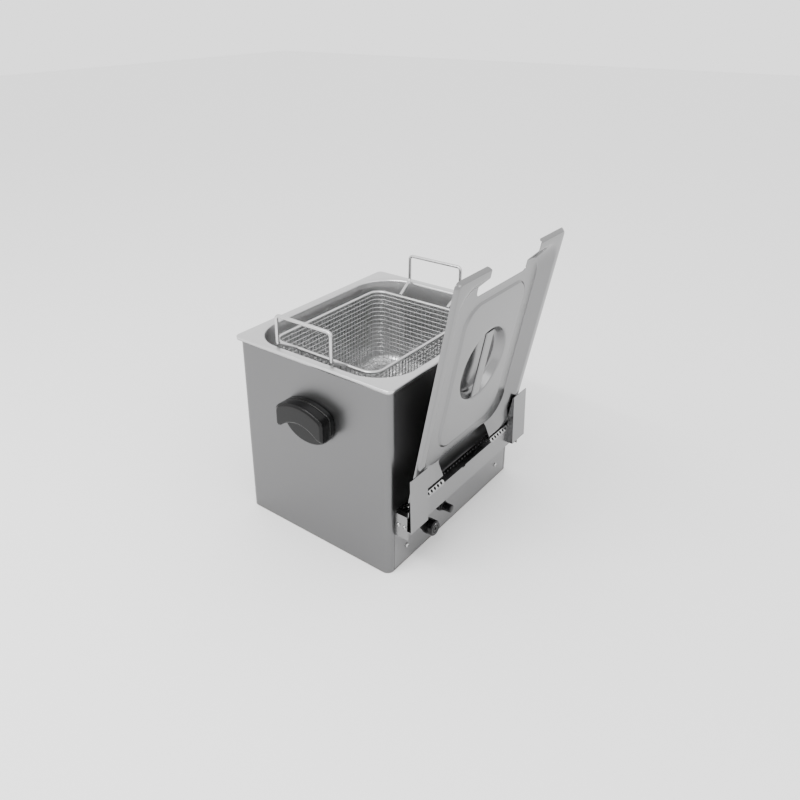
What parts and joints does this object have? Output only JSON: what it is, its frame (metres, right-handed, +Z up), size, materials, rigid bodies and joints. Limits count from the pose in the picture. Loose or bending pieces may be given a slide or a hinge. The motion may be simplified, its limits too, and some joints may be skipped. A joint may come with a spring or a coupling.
{
  "type": "deep fryer",
  "caption": "Countertop gas deep fryer: satin steel cabinet, drop-in tank, wire basket with fixed loop handles and a pressed lid parked upright in a front holder.",
  "frame": {"origin": "centre of the cabinet footprint, on the surface it stands on", "axes": "+Z up, -Y towards the front with the controls and the lid holder, +X to the right seen from the front"},
  "size_m": [0.368, 0.3413, 0.4179],
  "materials": {
    "satin_steel": "satin stainless sheet",
    "panel_steel": "satin stainless sheet",
    "tank_steel": "pressed stainless, satin",
    "lid_steel": "pressed stainless, satin",
    "holder_steel": "bright satin stainless",
    "wire": "bright nickel-plated wire",
    "screw_steel": "bright",
    "handle_black": "glossy moulded",
    "knob_black": "satin moulded",
    "marker_white": "matte",
    "brass": "turned",
    "copper": "drawn tube",
    "burner_steel": "heat-dulled",
    "ceramic": "white ceramic",
    "lead_sleeve": "silicone sleeve"
  },
  "bodies": {
    "fryer": {"cabinet_shell": "satin_steel", "base_plate": "burner_steel", "front_panel": "panel_steel", "panel_screws": "screw_steel", "tank": "tank_steel", "tank_brackets": "burner_steel", "holder_trough": "holder_steel", "holder_vent_strip": "holder_steel", "holder_end_left": "holder_steel", "holder_end_right": "holder_steel", "holder_ear_left": "holder_steel", "holder_ear_right": "holder_steel", "holder_screws": "screw_steel", "side_handle_left": "handle_black", "side_handle_right": "handle_black", "handle_screws": "screw_steel", "handle_washers": "screw_steel", "gas_valve": "brass", "igniter_nut": "knob_black", "igniter_body": "knob_black", "ignition_lead": "lead_sleeve", "spark_electrode": "ceramic", "thermocouple": "copper", "thermocouple_lead": "copper", "probe_bracket": "burner_steel", "burner_left": "burner_steel", "burner_right": "burner_steel", "burner_supports": "burner_steel", "gas_manifold": "copper", "gas_injectors": "brass", "gas_pipe": "copper", "gas_inlet": "brass", "heat_shield_left": "burner_steel", "heat_shield_right": "burner_steel"},
    "lid_body": {"lid": "lid_steel", "lid_grip_bar": "lid_steel"},
    "basket": {"basket_rim": "wire", "basket_mesh": "wire", "basket_frame": "wire", "basket_handle_left": "wire", "basket_handle_right": "wire"},
    "push_spindle": {"valve_spindle": "brass"},
    "knob": {"control_knob": "knob_black", "knob_indicator": "marker_white"},
    "igniter": {"igniter_button": "knob_black"}
  },
  "joints": [
    {"name": "lid_lift", "type": "slide", "parent": "fryer", "child": "lid_body", "axis": [0, -0.1788, 0.9839], "range_m": [0, 0.12]},
    {"name": "basket_lift", "type": "slide", "parent": "fryer", "child": "basket", "axis": [0, 0, 1], "range_m": [0, 0.2]},
    {"name": "knob_push", "type": "slide", "parent": "fryer", "child": "push_spindle", "axis": [0, 1, 0], "range_m": [0, 0.003], "stiffness_N_per_m": 400, "springref_m": -0.002},
    {"name": "knob_turn", "type": "hinge", "parent": "push_spindle", "child": "knob", "pos_m": [-0.0855, -0.142, 0.042], "axis": [0, -1, 0], "range_deg": [0, 180]},
    {"name": "igniter_press", "type": "slide", "parent": "fryer", "child": "igniter", "axis": [0, 1, 0], "range_m": [0, 0.005], "stiffness_N_per_m": 500, "springref_m": -0.002}
  ]
}
